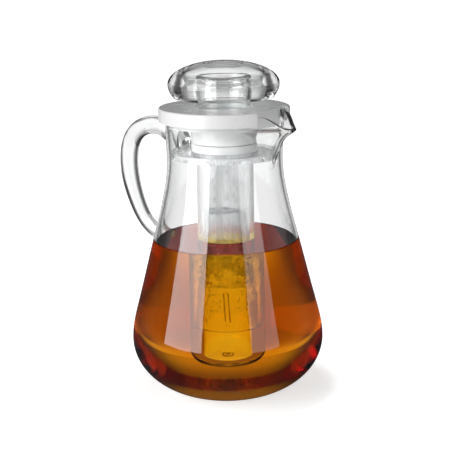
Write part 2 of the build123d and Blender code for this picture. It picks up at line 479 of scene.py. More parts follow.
def frosted(name, ior, clearness, tones, roughness, bloom):
    """Clear plastic or ice with a milky bloom, given as a scale, a stretch along each axis and a height."""
    material, tree, output, shader = new_material(name)
    scale, stretch, height = bloom
    shader.inputs["Transmission Weight"].default_value = clearness
    shader.inputs["IOR"].default_value = ior
    streaks = noise_node(tree, scale, 3, stretch)
    spread = tree.nodes.new("ShaderNodeMapRange")
    spread.inputs["From Min"].default_value = 0.35
    spread.inputs["From Max"].default_value = 0.65
    tree.links.new(streaks.outputs["Fac"], spread.inputs["Value"])
    tree.links.new(colour_between(tree, *tones, spread.outputs["Result"]), shader.inputs["Base Color"])
    tree.links.new(remap(tree, spread.outputs["Result"], *roughness), shader.inputs["Roughness"])
    add_bump(tree, shader, streaks.outputs["Fac"], height)
    let_light_through(tree, shader, output, MILKY_SHADOW)
    return material


def gloss_plastic(name, shade, colour, roughness, grain_height):
    """Opaque moulded plastic or rubber with faint clouds in its tone and a fine grain."""
    material, tree, output, shader = new_material(name)
    clouds = noise_node(tree, 60, 3)
    tree.links.new(colour_between(tree, shade, colour, clouds.outputs["Fac"]), shader.inputs["Base Color"])
    tree.links.new(remap(tree, clouds.outputs["Fac"], *roughness), shader.inputs["Roughness"])
    grain = noise_node(tree, 900, 2)
    add_bump(tree, shader, grain.outputs["Fac"], grain_height)
    tree.links.new(shader.outputs["BSDF"], output.inputs["Surface"])
    return material


def clear_plastic(name, mirror=1.0):
    """The thick clear plastic of the body, the handle and the knob, with a slight wave."""
    ripple = (25, (1, 1, 1), 0.03 * MM)
    return see_through(name, CLEAR_COLOUR, CLEAR_IOR, CLEAR_SHADOW, CLEAR_ROUGHNESS, ripple, mirror)


def tube_plastic(name, mirror=1.0):
    """The tube's clear plastic, with faint streaks from top to bottom."""
    ripple = (150, (1, 1, 0.03), 0.12 * MM)
    return see_through(name, CLEAR_COLOUR, CLEAR_IOR, CLEAR_SHADOW, CLEAR_ROUGHNESS, ripple, mirror)


def tea_liquid(name, ior, mirror):
    """Tea, which gets its colour from the length of the light's way through it."""
    still = (20, (1, 1, 1), 0)
    material = see_through(name, (1, 1, 1), ior, TEA_SHADOW, (0, 0), still, mirror)
    tree = material.node_tree
    volume = tree.nodes.new("ShaderNodeVolumeAbsorption")
    volume.inputs["Color"].default_value = (*TEA_COLOUR, 1)
    volume.inputs["Density"].default_value = TEA_DENSITY
    tree.links.new(volume.outputs["Volume"], tree.get_output_node("ALL").inputs["Volume"])
    return material


def clear_ice():
    tones = ((0.95, 0.96, 0.97), (0.99, 0.99, 1))
    return frosted("ice", ICE_IOR, 0.97, tones, (0.02, 0.0), (320, (1, 1, 0.5), 0.4 * MM))


def cracked_ice():
    tones = ((0.55, 0.54, 0.5), (0.99, 0.99, 1))
    return frosted("ice_cracked", ICE_IOR, 0.97, tones, (0.05, 0.0), (110, (1, 1, 1), 2.5 * MM))


def cloudy_ice():
    tones = ((0.66, 0.66, 0.66), (0.96, 0.96, 0.97))
    return frosted("ice_cloud", ICE_IOR, 0.85, tones, (0.35, 0.1), (150, (1, 1, 0.05), 0.5 * MM))


def strainer_plastic():
    tones = ((0.93, 0.94, 0.94), (0.98, 0.98, 0.98))
    return frosted("strainer_plastic", CLEAR_IOR, 0.85, tones, (0.25, 0.15), (80, (1, 1, 1), 0.02 * MM))


def white_plastic():
    return gloss_plastic("white_plastic", (0.72, 0.72, 0.72), (0.75, 0.75, 0.75), (0.22, 0.3), 0.004 * MM)


def silicone():
    return gloss_plastic("silicone", (0.7, 0.7, 0.68), (0.75, 0.75, 0.73), (0.4, 0.5), 0.01 * MM)


def wet(piece, material, touches):
    """Give the faces where plastic and liquid meet, which hardly reflect, a material of their own."""
    piece.data.materials.append(material)
    for face in piece.data.polygons:
        if touches(face.center, face.normal):
            face.material_index = 1


def faces_out(centre, normal):
    """Whether a face looks away from the middle of the body, and not towards it."""
    return centre.x * normal.x + centre.y * normal.y + (centre.z - BODY_MIDDLE) * normal.z > 0


# Pitcher body


def side_line(inset):
    points = [
        (between(BELLY_RADIUS, WAIST_RADIUS, inward), between(BELLY_HEIGHT, WAIST_HEIGHT, up))
        for inward, up in SIDE_SHARES
    ]
    points.append((RIM_RADIUS, RIM_HEIGHT))
    line = smooth_curve(points, 400, start=(0, 1), end=(0.02, 1))
    return line - (inset, 0)


def keel_line(inset):
    points = [
        (between(SPOUT_ROOT_X, SPOUT_TIP, out), between(SPOUT_ROOT_HEIGHT, SPOUT_END_HEIGHT, up))
        for out, up in KEEL_SHARES
    ]
    line = smooth_curve(points, 200, start=(0, 1), end=(0.15, 1))
    slope = np.gradient(line, axis=0)
    slope /= np.linalg.norm(slope, axis=1)[:, None]
    return line + np.stack([-slope[:, 1], slope[:, 0]], axis=1) * inset


SIDE = side_line(0)
KEEL = {0: keel_line(0), WALL: keel_line(WALL)}
LIP = smooth_curve(
    [
        (between(RIM_RADIUS, LIP_END_X, out), between(RIM_HEIGHT, LIP_END_HEIGHT, down))
        for out, down in LIP_SHARES
    ],
    200,
    start=(1, 0),
    end=(1, -0.3),
)


def spout_radius(turn, z, inset):
    """Distance from the axis to the spout's wedge at an angle from +X and a height."""
    keel = KEEL[inset]
    below = max(0, keel[0, 1] - z)
    tip = np.interp(z, keel[:, 1], keel[:, 0]) - below
    up = min(1, max(0, (z - SPOUT_ROOT_HEIGHT) / (SPOUT_END_HEIGHT - SPOUT_ROOT_HEIGHT)))
    corner = between(SPOUT_ROOT_RADIUS, SPOUT_TIP_RADIUS, up) - inset
    centre = tip - corner
    side = centre * math.sin(SPOUT_HALF_ANGLE) + corner
    square = math.pi / 2 - SPOUT_HALF_ANGLE
    turn = abs(turn)
    if turn > square:
        return side - (turn - square) * side
    touch = math.atan2(corner * math.cos(SPOUT_HALF_ANGLE), centre + corner * math.sin(SPOUT_HALF_ANGLE))
    if turn > touch:
        return side / math.sin(SPOUT_HALF_ANGLE + turn)
    return centre * math.cos(turn) + math.sqrt(corner**2 - (centre * math.sin(turn)) ** 2)


def blended(a, b):
    """The larger of two distances, with a soft fillet where they are nearly the same."""
    near = max(SPOUT_BLEND - abs(a - b), 0) / SPOUT_BLEND
    return max(a, b) + near**2 * SPOUT_BLEND / 4


def shell_radius(turn, z, inset):
    round_part = np.interp(z, SIDE[:, 1], SIDE[:, 0]) - inset
    if z < WAIST_HEIGHT or abs(turn) > SPOUT_REACH:
        return round_part
    return blended(round_part, spout_radius(turn, z, inset))


def rim_height(turn):
    """Height of the rim, which falls along the spout's lip, found in a few rounds."""
    height = RIM_HEIGHT
    for _ in range(8):
        x = shell_radius(turn, height, 0) * math.cos(turn)
        height = RIM_HEIGHT if x < RIM_RADIUS else np.interp(x, LIP[:, 0], LIP[:, 1])
    return height


def bowl(inset, bottom, undercut, steps):
    """Arc of the rounded belly from its foot up to the widest height."""
    half_width = BELLY_RADIUS - BOWL_CENTRE - inset
    half_height = BELLY_HEIGHT - bottom + undercut
    start = -math.degrees(math.asin((BELLY_HEIGHT - bottom) / half_height))
    return arc(BOWL_CENTRE, BELLY_HEIGHT, half_width, half_height, start, 0, steps)


def body_columns():
    """Angles round the body, closer together at the spout."""
    near = np.linspace(-1, 1, 121)
    spout = SPOUT_FINE_REACH * np.sign(near) * np.abs(near) ** 1.5
    rest = np.linspace(SPOUT_FINE_REACH, 2 * math.pi - SPOUT_FINE_REACH, 104)[1:-1]
    return [*spout, *rest]


def pitcher_shell(material, wet_material):
    turns = body_columns()
    tops = [rim_height(t) for t in turns]
    half_wall = WALL / 2

    def level_ring(height, inset):
        ring = []
        for turn, top in zip(turns, tops):
            z = height
            if height > WAIST_HEIGHT:
                share = (height - WAIST_HEIGHT) / (RIM_HEIGHT - WAIST_HEIGHT)
                z = between(WAIST_HEIGHT, top - half_wall, share)
            r = shell_radius(turn, z, inset)
            ring.append((r * math.cos(turn), r * math.sin(turn), z))
        return ring

    def rim_ring(angle):
        ring = []
        for turn, top in zip(turns, tops):
            z = top - half_wall
            outer = shell_radius(turn, z, 0)
            inner = shell_radius(turn, z, WALL)
            r = (outer + inner) / 2 + math.cos(angle) * (outer - inner) / 2
            ring.append((r * math.cos(turn), r * math.sin(turn), z + math.sin(angle) * half_wall))
        return ring

    heights = [
        *np.linspace(BELLY_HEIGHT, WAIST_HEIGHT, 70)[1:],
        *np.linspace(WAIST_HEIGHT, RIM_HEIGHT, 64)[1:],
    ]
    outer_bowl = bowl(0, 0, FOOT_FLAT, 40)
    inner_bowl = bowl(WALL, FLOOR_THICKNESS, 0, 40)
    foot = outer_bowl[0][0]
    rings = [circle(foot * share, 0, turns) for share in (0, 0.3, 0.6, 0.9, 0.985)]
    rings += [circle(r, z, turns) for r, z in outer_bowl]
    rings += [level_ring(z, 0) for z in heights]
    rings += [rim_ring(math.pi * step / 10) for step in range(1, 10)]
    rings += [level_ring(z, WALL) for z in reversed(heights)]
    rings += [circle(r, z, turns) for r, z in reversed(inner_bowl)]
    rings += [circle(inner_bowl[0][0] * share, FLOOR_THICKNESS, turns) for share in (0.8, 0.4, 0)]
    vertices, faces = skin(rings)
    nodes = ["pitcher_body"]
    shell = add_piece("pitcher_shell", vertices, faces, material, "pitcher", nodes)
    wet(shell, wet_material, lambda centre, normal: centre.z < TEA_LEVEL and not faces_out(centre, normal))


# Handle


def handle_loop(material):
    """The handle's rod, swept along its curve until it meets the body, with a small flare at each root."""
    inside_x = MM - WAIST_RADIUS
    bend = []
    for out, up in HANDLE_BEND:
        bend.append((between(inside_x, -HANDLE_REACH, out), between(HANDLE_END, HANDLE_TOP, up)))
    path = smooth_curve(bend, 600)
    radii = smooth_curve(HANDLE_RADII, 200)
    slope = np.gradient(path, axis=0)
    slope /= np.linalg.norm(slope, axis=1)[:, None]
    length = np.linalg.norm(np.diff(path, axis=0), axis=1).sum()
    path = np.vstack([path[0] - slope[0] * HANDLE_ROOT, path, path[-1] + slope[-1] * HANDLE_ROOT])
    slope = np.vstack([slope[0], slope, slope[-1]])
    root = HANDLE_ROOT / length
    shares = np.concatenate([[-root], np.linspace(0, 1, len(path) - 2), [1 + root]])
    wall = np.interp(path[:, 1], SIDE[:, 1], SIDE[:, 0])
    outside = np.nonzero(-path[:, 0] > wall)[0]
    first, last = shares[outside[0]], shares[outside[-1]]

    def surface(share, turn):
        x = np.interp(share, shares, path[:, 0])
        z = np.interp(share, shares, path[:, 1])
        tx = np.interp(share, shares, slope[:, 0])
        tz = np.interp(share, shares, slope[:, 1])
        away = np.maximum(0, np.minimum(share - first, last - share)) * length
        r = np.interp(share, radii[:, 0], radii[:, 1]) + HANDLE_FLARE * np.exp(-away / HANDLE_FLARE_LENGTH)
        c = r * math.cos(turn)
        return np.stack([x - tz * c, r * math.sin(turn), z + tx * c], axis=-1)

    def wall_near(points):
        return np.interp(points[:, 2], SIDE[:, 1], SIDE[:, 0]) - SEEP

    def depth(points):
        return np.hypot(points[:, 0], points[:, 1]) - wall_near(points)

    columns = 64
    rows = 150
    fine = np.linspace(-root, 1 + root, 1400)
    lines = []
    for i in range(columns):
        turn = 2 * math.pi * i / columns
        gap = depth(surface(fine, turn))
        out = np.nonzero(gap > 0)[0]
        low, high = out[0], out[-1]
        start = np.interp(0, gap[low - 1 : low + 1], fine[low - 1 : low + 1])
        end = np.interp(0, gap[high : high + 2][::-1], fine[high : high + 2][::-1])
        ease = np.linspace(0, 1, rows)
        lines.append(surface(between(start, end, ease), turn))

    def cap(ring):
        """Rings that close the rod's end along the body's wall."""
        centre = np.mean(ring, axis=0)
        inner = []
        for share in (0.985, 0.95, 0.8, 0.55, 0.3, 0):
            points = centre + (ring - centre) * share
            if share == 0:
                points = points[:1]
            points[:, :2] *= (wall_near(points) / np.hypot(points[:, 0], points[:, 1]))[:, None]
            inner.append([tuple(p) for p in points])
        return inner

    rings = [[tuple(line[k]) for line in lines] for k in range(rows)]
    start_cap = cap(np.array(rings[0]))
    end_cap = cap(np.array(rings[-1]))
    vertices, faces = skin([*reversed(start_cap), *rings, *end_cap])
    add_piece("handle_loop", vertices, faces, material, "pitcher", ["handle"])


# Ice tube and what it holds


def ice_tube(material, wet_material):
    """The tube with its flange, its rounded bottom and the small stub where its mould was filled."""
    inner_rounding = TUBE_ROUNDING - (TUBE_RADIUS - TUBE_INNER_RADIUS)
    floor = TUBE_BOTTOM + TUBE_FLOOR
    centre = TUBE_RADIUS - TUBE_ROUNDING
    bend_top = TUBE_BOTTOM + TUBE_ROUNDING
    inner_bend_top = floor + inner_rounding
    sides = outline(
        [
            (TUBE_RADIUS, bend_top, 0),
            (TUBE_RADIUS, bend_top + TUBE_EDGE, 0),
            (TUBE_RADIUS, TEA_LEVEL, 0),
            (TUBE_RADIUS, FLANGE_BOTTOM, TUBE_EDGE),
            (FLANGE_RADIUS, FLANGE_BOTTOM, TUBE_EDGE),
            (FLANGE_RADIUS, FLANGE_TOP, TUBE_EDGE),
            (TUBE_RADIUS, FLANGE_TOP, TUBE_EDGE),
            (TUBE_RADIUS, TUBE_TOP, TUBE_EDGE),
            (TUBE_INNER_RADIUS, TUBE_TOP, TUBE_EDGE),
            (TUBE_INNER_RADIUS, ICE_BOTTOM, 0),
            (TUBE_INNER_RADIUS, inner_bend_top + TUBE_EDGE, 0),
            (TUBE_INNER_RADIUS, inner_bend_top, 0),
        ],
        4,
    )[1:-1]
    gate = [
        (0, TUBE_BOTTOM - TUBE_GATE_DEPTH),
        (TUBE_GATE_RADIUS * 2 / 3, TUBE_BOTTOM - TUBE_GATE_DEPTH * 0.9),
        (TUBE_GATE_RADIUS, TUBE_BOTTOM),
    ]
    bottom = arc(centre, bend_top, TUBE_ROUNDING, TUBE_ROUNDING, -90, 0, 12)
    inside = arc(centre, inner_bend_top, inner_rounding, inner_rounding, 0, -90, 10)
    halfway = centre / 2
    profile = [*gate, (halfway, TUBE_BOTTOM), *bottom, *sides, *inside, (halfway, floor), (0, floor)]
    piece = lathe("ice_tube_clear", profile, material, "tube", ["ice_tube"])

    def touched(centre, normal):
        return centre.z < TEA_LEVEL if faces_out(centre, normal) else centre.z > ICE_BOTTOM

    wet(piece, wet_material, touched)


def meniscus(wall_radius, side):
    """Curved edge of the tea's surface up to a wall, which is outside it (side 1) or inside it (side -1)."""
    shares = (0, 0.35, 0.6, 0.8, 0.92, 1)
    return [(wall_radius - side * MENISCUS_RUN * (1 - s), TEA_LEVEL + MENISCUS_RISE * s**3) for s in shares]


def tea(material, wet_material):
    """The tea round the tube. Its outside sinks slightly into the walls, so no air shows between them."""
    inner_bowl = bowl(WALL - SEEP, FLOOR_THICKNESS - SEEP, 0, 40)
    wall_heights = np.linspace(BELLY_HEIGHT, TEA_LEVEL + MM, 50)[1:-1]
    wall = [(np.interp(z, SIDE[:, 1], SIDE[:, 0]) - WALL + SEEP, z) for z in wall_heights]
    level_radius = np.interp(TEA_LEVEL, SIDE[:, 1], SIDE[:, 0]) - WALL + SEEP
    bore = TUBE_RADIUS - SEEP
    rounding = TUBE_ROUNDING - SEEP
    bend_top = TUBE_BOTTOM + TUBE_ROUNDING
    bottom = arc(TUBE_RADIUS - TUBE_ROUNDING, bend_top, rounding, rounding, 0, -90, 12)
    base = FLOOR_THICKNESS - SEEP
    profile = [(0, base), (inner_bowl[0][0] * 0.6, base), *inner_bowl, *wall]
    profile += reversed(meniscus(level_radius, 1))
    profile += [(between(TUBE_RADIUS, level_radius, share), TEA_LEVEL) for share in (0.75, 0.5, 0.25)]
    profile += meniscus(bore, -1)
    profile += [(bore, z) for z in np.linspace(TEA_LEVEL, bend_top + FLAT_BESIDE_ROUNDING, 12)]
    profile += [*bottom, (bottom[-1][0] / 2, TUBE_BOTTOM + SEEP), (0, TUBE_BOTTOM + SEEP)]
    liquid = lathe("tea", profile, material, "pitcher", columns=220)
    wet(liquid, wet_material, lambda centre, normal: normal.z < 0.7 or centre.z < TEA_LEVEL - MM)


def lock_ring(material):
    """The white ring under the lid's collar, with rounded edges that leave a fine groove between them."""
    corners = [
        (LOCK_INNER, LOCK_BOTTOM, LOCK_EDGE),
        (LOCK_OUTER, LOCK_BOTTOM, LOCK_EDGE),
        (LOCK_OUTER, LOCK_TOP, LOCK_EDGE),
        (LOCK_INNER, LOCK_TOP, LOCK_EDGE),
    ]
    around = outline([corners[-1], *corners, corners[0]], 5)[1:-1]
    lathe_ring("lock_ring", around, material, "tube", ["tube_lock_ring"])


# Knob


def knob_cap(material):
    """The knob's dome: a low cap over a rounded underside, with a hollow and a boss inside."""
    handle_share = (math.sqrt(2) - 1) * 4 / 3
    rise = KNOB_TOP - KNOB_WIDEST
    side = Vector((KNOB_RADIUS, KNOB_WIDEST))
    side_handle = Vector((KNOB_RADIUS, KNOB_WIDEST + handle_share * rise))
    top_handle = Vector((handle_share * KNOB_RADIUS, KNOB_TOP))
    top = Vector((0, KNOB_TOP))
    cap = []
    for t in np.linspace(0, 1, 49):
        lower = side * (1 - t) ** 3 + side_handle * 3 * t * (1 - t) ** 2
        cap.append(tuple(lower + top_handle * 3 * t**2 * (1 - t) + top * t**3))
    drop = KNOB_WIDEST - KNOB_UNDERSIDE
    inward = KNOB_RADIUS - KNOB_FOOT_RADIUS
    bend = (drop**2 + inward**2) / (2 * inward)
    sweep = math.degrees(math.asin(drop / bend))
    under = arc(KNOB_RADIUS - bend, KNOB_WIDEST, bend, bend, -sweep, 0, 20)
    foot = outline(
        [
            (0, KNOB_PLATE_TOP, 0),
            (KNOB_RECESS_RADIUS, KNOB_PLATE_TOP, KNOB_EDGE),
            (KNOB_RECESS_RADIUS, KNOB_UNDERSIDE, KNOB_EDGE),
            (*under[0], KNOB_EDGE),
            (*under[1], 0),
        ],
        4,
    )[1:-1]
    boss_turn = math.degrees(math.acos(KNOB_BOSS_RADIUS / KNOB_CAVITY_RADIUS))
    ceiling = arc(0, KNOB_WIDEST, KNOB_CAVITY_RADIUS, KNOB_CAVITY_HEIGHT, boss_turn, 0, 24)
    boss_top = KNOB_WIDEST + KNOB_CAVITY_HEIGHT * math.sin(math.radians(boss_turn))
    boss = outline(
        [
            (0, KNOB_BOSS_BOTTOM, 0),
            (KNOB_BOSS_RADIUS, KNOB_BOSS_BOTTOM, KNOB_BOSS_EDGE),
            (KNOB_BOSS_RADIUS, boss_top, 0),
        ],
        4,
    )
    mouth = outline(
        [
            (KNOB_CAVITY_RADIUS, KNOB_WIDEST, 0),
            (KNOB_CAVITY_RADIUS, KNOB_PLATE_TOP, KNOB_EDGE),
            (KNOB_RECESS_RADIUS, KNOB_PLATE_TOP, 0),
        ],
        4,
    )[1:-1]
    profile = [*boss[:-1], *ceiling, *mouth, *foot, *under[2:], *cap[1:]]
    lathe("knob_cap", profile, material, "knob", ["knob_dome"], columns=200)


def knob_plug(material):
    """The knob's base plate, with the hollow neck that goes through it."""
    profile = outline(
        [
            (0, NECK_BOTTOM, 0),
            (NECK_RADIUS, NECK_BOTTOM, BASE_EDGE),
            (NECK_RADIUS, KNOB_UNDERSIDE, BASE_EDGE),
            (BASE_RADIUS, KNOB_UNDERSIDE, BASE_EDGE),
            (BASE_RADIUS, KNOB_PLATE_TOP, BASE_EDGE),
            (NECK_RADIUS, KNOB_PLATE_TOP, BASE_EDGE),
            (NECK_RADIUS, NECK_TOP, NECK_EDGE_RADIUS),
            (NECK_INNER_RADIUS, NECK_TOP, BASE_EDGE),
            (NECK_INNER_RADIUS, NECK_FLOOR_TOP, NECK_FLOOR_ROUNDING),
            (0, NECK_FLOOR_TOP, 0),
        ],
        5,
    )
    lathe("knob_plug", profile, material, "knob", ["knob_base"], columns=200)


# Ice


def bubble(centre, sizes, tilt):
    """Rings of a small stretched bubble, tilted from the upright by an angle."""
    rings = []
    for row in range(7):
        lat = math.pi * (row / 6 - 0.5)
        count = 1 if row in (0, 6) else 10
        ring = []
        for column in range(count):
            lon = 2 * math.pi * column / 10
            x = sizes[0] * math.cos(lat) * math.cos(lon)
            y = sizes[1] * math.cos(lat) * math.sin(lon)
            z = sizes[2] * math.sin(lat)
            ring.append(tuple(Vector(centre) + Vector((x + z * math.sin(tilt), y, z * math.cos(tilt)))))
        rings.append(ring)
    return rings


def cavity_wall(draw, front):
    """A function for the radius of the melted hollow at an angle and a share of its height.

    Its wall narrows upwards, with slow waves, small melted dents, and one upright rib at the front.
    """
    waves = []
    for number in range(CAVITY_WAVES):
        phase = draw.uniform(0, 6.3)
        twist = draw.uniform(-3, 3)
        waves.append((number + 1, phase, twist, draw.uniform(0.06, 0.2) * MM))
    dents = []
    for _ in range(CAVITY_DENTS):
        turn = draw.uniform(0, 2 * math.pi)
        share = draw.uniform(0.35, 0.8)
        depth = draw.uniform(0.5, 1.4) * MM
        dents.append((turn, share, depth, draw.uniform(1.0, 3.0) * MM, draw.uniform(0.8, 2.0)))

    def radius(turn, share):
        taper = between(CAVITY_BOTTOM_RADIUS, CAVITY_TOP_RADIUS, share)
        lumps = sum(size * math.cos(k * turn + phase + twist * share * 5) for k, phase, twist, size in waves)
        beside = math.remainder(turn - front, 2 * math.pi) * taper - (0.5 - 5 * share) * MM
        along_rib = (share - RIB_MIDDLE) / RIB_HALF_LENGTH
        rib = RIB_DEPTH * math.exp(-((beside / RIB_HALF_WIDTH) ** 4)) * math.exp(-(along_rib**12))
        pits = 0
        for dent_turn, dent_share, depth, width, stretch in dents:
            across = math.remainder(turn - dent_turn, 2 * math.pi) * taper / width
            along = (share - dent_share) * (CAVITY_TOP - ICE_BOTTOM) / (width * stretch)
            if abs(across) < 2 and abs(along) < 2:
                pits += depth * math.exp(-((across**2 + along**2) * 1.5))
        return taper + (lumps - 0.3 * MM) * min(1, share * 8) - rib - min(pits, DEEPEST_DENT)

    return radius


def air_in_ice(draw, front):
    """Air pockets: slim ones in the cloudy top, and small ones close to the tube's wall lower down."""
    pockets = []
    for _ in range(CLOUD_BUBBLES):
        turn = draw.uniform(0, 2 * math.pi)
        r = 19 * MM * math.sqrt(draw.uniform(0, 1))
        size = draw.uniform(0.3, 0.7) * MM
        place = (r * math.cos(turn), r * math.sin(turn), draw.uniform(172, 224) * MM)
        pockets.append((place, (size, size, size * draw.uniform(2, 7)), draw.uniform(-0.1, 0.1)))
    for _ in range(WALL_BUBBLES):
        side = draw.choice((-1, 1))
        turn = front + side * math.radians(draw.uniform(12, 60)) + draw.choice((0, math.pi))
        height = draw.uniform(76, 134) * MM
        r = between(22.2, 21.4, draw.uniform(0, 1)) * MM
        size = draw.uniform(0.3, 0.65) * MM
        place = (r * math.cos(turn), r * math.sin(turn), height)
        pockets.append((place, (size, size, size * draw.uniform(1, 3)), draw.uniform(-0.6, 0.6)))
    return pockets


def ice_core(material, cracked_material, cloudy_material):
    """Ice frozen fast in the tube: solid and cloudy at the top, melted hollow below."""
    draw = random.Random(ICE_SEED)
    front = math.atan2(CAMERA_PLACE.y, CAMERA_PLACE.x)
    cavity_radius = cavity_wall(draw, front)
    columns = 300
    rows = 160
    turns = [2 * math.pi * column / columns for column in range(columns)]

    def ring_at(place):
        ring = []
        for turn in turns:
            r, z = place(turn)
            ring.append((r * math.cos(turn), r * math.sin(turn), z))
        return ring

    def ceiling_ring(share, rise):
        def place(turn):
            sway = CEILING_SWAY * math.cos(2 * turn + 1) * share
            return cavity_radius(turn, 1) * share, CAVITY_TOP + rise + sway

        return ring_at(place)

    rings = [circle(0, CAVITY_TOP + CEILING_PEAK, turns)]
    rings += [ceiling_ring(share, rise * MM) for share, rise in CEILING]
    low = ICE_BOTTOM + MM
    high = CAVITY_TOP - 4 * MM
    for row in range(rows + 1):
        share = 1 - row / rows
        rings.append(ring_at(lambda t: (cavity_radius(t, share), between(low, high, share))))
    outer = TUBE_INNER_RADIUS + SEEP
    rings.append(circle(CAVITY_BOTTOM_RADIUS + 0.3 * MM, ICE_BOTTOM + 0.2 * MM, turns))
    rings.append(circle(outer, ICE_BOTTOM, turns))
    rings.append(circle(outer, ICE_BOTTOM + FLAT_BESIDE_ROUNDING, turns))
    for height in (CRACKS_BOTTOM, CLOUD_BOTTOM, ICE_TOP - 1.5 * MM, ICE_TOP - MM):
        rings.append(circle(outer, height, turns))
    rings.append(circle(outer - MM, ICE_TOP, turns))
    rings.append(circle(0, ICE_TOP, turns))
    vertices, faces = skin(rings)
    solid_count = len(faces)

    for pocket in air_in_ice(draw, front):
        more_vertices, more_faces = skin(bubble(*pocket))
        first = len(vertices)
        vertices.extend(more_vertices)
        faces.extend(tuple(v + first for v in face) for face in more_faces)
    core = add_piece("ice_core", vertices, faces, material, "tube")
    core.data.materials.append(cracked_material)
    core.data.materials.append(cloudy_material)
    for number, face in enumerate(core.data.polygons):
        if number >= solid_count:
            face.flip()
        face.material_index = (face.center.z > CRACKS_BOTTOM) + (face.center.z > CLOUD_BOTTOM)
    core.data.update()


# Surroundings


def toward(offset, distance, height):
    """A place round the pitcher, at an angle in degrees to the right of the camera's direction."""
    heading = math.atan2(CAMERA_PLACE.y, CAMERA_PLACE.x) + math.radians(offset)
    return Vector((distance * math.cos(heading), distance * math.sin(heading), height))


def add_lamp(name, place, aim, width, height, radiance):
    data = bpy.data.lights.new(name, "AREA")
    data.shape = "RECTANGLE"
    data.size = width
    data.size_y = height
    data.energy = radiance * math.pi * width * height
    lamp = bpy.data.objects.new(name, data)
    bpy.context.scene.collection.objects.link(lamp)
    lamp.location = place
    lamp.rotation_euler = (aim - place).to_track_quat("-Z", "Y").to_euler()


def add_window(name, turn, width, radiance):
    """An upright window, which the clear body mirrors as a pane."""
    aim = Vector((0, 0, WINDOW_MIDDLE))
    add_lamp(name, toward(turn, WINDOW_DISTANCE, WINDOW_MIDDLE), aim, width, WINDOW_HEIGHT, radiance)


def add_top_panel():
    place = toward(TOP_PANEL_TURN, TOP_PANEL_DISTANCE, TOP_PANEL_HEIGHT)
    aim = Vector((0, 0, TOP_PANEL_AIM))
    add_lamp("top_panel", place, aim, TOP_PANEL_SIZE, TOP_PANEL_SIZE, TOP_PANEL_RADIANCE)


def math_node(tree, operation, a, b=0):
    node = tree.nodes.new("ShaderNodeMath")
    node.operation = operation
    for i, value in enumerate((a, b)):
        if isinstance(value, (int, float)):
            node.inputs[i].default_value = value
        else:
            tree.links.new(value, node.inputs[i])
    return node.outputs[0]


def product(tree, first, *others):
    for other in others:
        first = math_node(tree, "MULTIPLY", first, other)
    return first


def step_up(tree, value, low, high, at_low, at_high):
    """A smooth change from one value to another while the input goes from low to high."""
    node = tree.nodes.new("ShaderNodeMapRange")
    node.interpolation_type = "SMOOTHSTEP"
    for socket, number in (("From Min", low), ("From Max", high), ("To Min", at_low), ("To Max", at_high)):
        node.inputs[socket].default_value = number
    tree.links.new(value, node.inputs["Value"])
    return node.outputs["Result"]


def side_flags(tree, vector, dark_wave, pale_wave, lowest):
    """Brightness round the pitcher as clear pieces see it: pale, with darker flags at four corners."""
    split = tree.nodes.new("ShaderNodeSeparateXYZ")
    tree.links.new(vector, split.inputs[0])
    heading = math_node(tree, "ARCTAN2", split.outputs["Y"], split.outputs["X"])
    front = math.atan2(CAMERA_PLACE.y, CAMERA_PLACE.x)
    turned = math_node(tree, "MULTIPLY", math_node(tree, "SUBTRACT", heading, front), FLAG_COUNT)
    return step_up(tree, math_node(tree, "COSINE", turned), dark_wave, pale_wave, lowest, 1)


def mirrored_ray(tree, rays):
    """One for a ray that mirrors off an outside, zero for one that has passed through a clear piece."""
    outside = math_node(tree, "SUBTRACT", 1, rays.outputs["Is Transmission Ray"])
    return product(tree, rays.outputs["Is Glossy Ray"], outside)


def scattered_ray(tree, rays):
    """One for a ray that has met a matt surface before."""
    return math_node(tree, "GREATER_THAN", rays.outputs["Diffuse Depth"], 0.5)


def clear_ray(tree, rays):
    """One for a ray that leaves clear pieces without having met a matt surface before."""
    straight = math_node(tree, "SUBTRACT", 1, scattered_ray(tree, rays))
    return product(tree, rays.outputs["Is Transmission Ray"], straight)


def paper_colour(tree, rays, clear):
    """Pale paper, but nearly black where mirrors and clear pieces show it."""
    hidden = math_node(tree, "MAXIMUM", mirrored_ray(tree, rays), clear)
    tone = math_node(tree, "SUBTRACT", PAPER_TONE, product(tree, hidden, PAPER_HIDDEN_LOSS))
    colour = tree.nodes.new("ShaderNodeCombineColor")
    for socket in colour.inputs:
        tree.links.new(tone, socket)
    return colour.outputs["Color"]


def paper_seen_clear(tree, rays, clear, place, apart):
    """Brightness and tint of the paper as it shows through clear pieces.

    It is dark under the pitcher and paler further out, a painted shade, with painted dark flags at four
    corners, and a painted even light behind the tube. Where it is dark, what shows through the tea has a
    warm tint: painted tea-coloured light.
    """
    # Painted shade under the pitcher, and painted dark flags round it, in the paper's own light
    near = step_up(tree, apart, FAR_INNER, FAR_OUTER, 1, 0)
    tea_flags = side_flags(tree, place, *TEA_FLAGS)
    far_flags = side_flags(tree, place, *FAR_FLAGS)
    close = product(tree, step_up(tree, apart, CLOSE_INNER, CLOSE_OUTER, CLOSE_LOWEST, 1), tea_flags, near)
    far = product(tree, math_node(tree, "SUBTRACT", 1, near), far_flags)
    depth = rays.outputs["Transmission Depth"]
    # Painted light on the paper behind the tube
    mirrored = math_node(tree, "GREATER_THAN", rays.outputs["Glossy Depth"], 0.5)
    direct = math_node(tree, "SUBTRACT", TUBE_LIGHT, product(tree, mirrored, TUBE_MIRRORED_LOSS))
    by_tube = product(tree, math_node(tree, "GREATER_THAN", depth, TUBE_SURFACES), direct, near)
    lit = math_node(tree, "MAXIMUM", math_node(tree, "ADD", close, far), by_tube)
    by_tea = math_node(tree, "GREATER_THAN", depth, TEA_SURFACES)
    # Painted tea-coloured light where the paper is dark behind the tea
    painted_tea_light = product(tree, math_node(tree, "SUBTRACT", 1, lit), near, by_tea, clear)
    return lit, colour_between(tree, (1, 1, 1), PAINTED_TEA_LIGHT, painted_tea_light)


